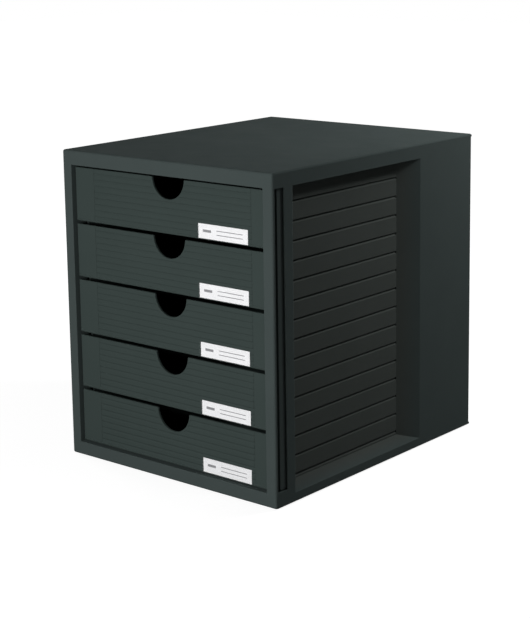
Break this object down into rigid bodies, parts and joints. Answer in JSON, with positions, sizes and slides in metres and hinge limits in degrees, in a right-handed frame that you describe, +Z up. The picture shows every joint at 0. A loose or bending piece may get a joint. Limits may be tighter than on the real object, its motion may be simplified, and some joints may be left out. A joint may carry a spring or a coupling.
{
  "type": "desktop drawer organizer",
  "caption": "Desktop drawer organizer: dark plastic casing with louvred sides and closed sliding drawers with finger cut-outs and label holders.",
  "frame": {"origin": "centre of the footprint, on the surface that the organizer stands on", "axes": "+Z up, the drawer fronts look to -Y, +X is to the right seen from the front"},
  "size_m": [0.275, 0.33, 0.32],
  "materials": {
    "case_plastic": "fine satin moulded grain",
    "drawer_plastic": "fine satin moulded grain",
    "clear_plastic": "clear, polished",
    "label_paper": "uncoated white card",
    "foot_rubber": "matt"
  },
  "bodies": {
    "casing": {"front_frame": "case_plastic", "side_panel_right": "case_plastic", "side_panel_left": "case_plastic", "top_panel": "case_plastic", "base_panel": "case_plastic", "back_panel": "case_plastic", "runner_right": "case_plastic", "runner_left": "case_plastic", "rubber_feet": "foot_rubber"},
    "drawer_1": {"drawer_1_tray": "drawer_plastic", "drawer_1_front": "drawer_plastic", "drawer_1_label_card": "label_paper", "drawer_1_label_holder": "clear_plastic"},
    "drawer_2": {"drawer_2_tray": "drawer_plastic", "drawer_2_front": "drawer_plastic", "drawer_2_label_card": "label_paper", "drawer_2_label_holder": "clear_plastic"},
    "drawer_3": {"drawer_3_tray": "drawer_plastic", "drawer_3_front": "drawer_plastic", "drawer_3_label_card": "label_paper", "drawer_3_label_holder": "clear_plastic"},
    "drawer_4": {"drawer_4_tray": "drawer_plastic", "drawer_4_front": "drawer_plastic", "drawer_4_label_card": "label_paper", "drawer_4_label_holder": "clear_plastic"},
    "drawer_5": {"drawer_5_tray": "drawer_plastic", "drawer_5_front": "drawer_plastic", "drawer_5_label_card": "label_paper", "drawer_5_label_holder": "clear_plastic"}
  },
  "joints": [
    {"name": "drawer_1_slide", "type": "slide", "parent": "casing", "child": "drawer_1", "axis": [0, -1, 0], "range_m": [0, 0.24]},
    {"name": "drawer_2_slide", "type": "slide", "parent": "casing", "child": "drawer_2", "axis": [0, -1, 0], "range_m": [0, 0.24]},
    {"name": "drawer_3_slide", "type": "slide", "parent": "casing", "child": "drawer_3", "axis": [0, -1, 0], "range_m": [0, 0.24]},
    {"name": "drawer_4_slide", "type": "slide", "parent": "casing", "child": "drawer_4", "axis": [0, -1, 0], "range_m": [0, 0.24]},
    {"name": "drawer_5_slide", "type": "slide", "parent": "casing", "child": "drawer_5", "axis": [0, -1, 0], "range_m": [0, 0.24]}
  ]
}
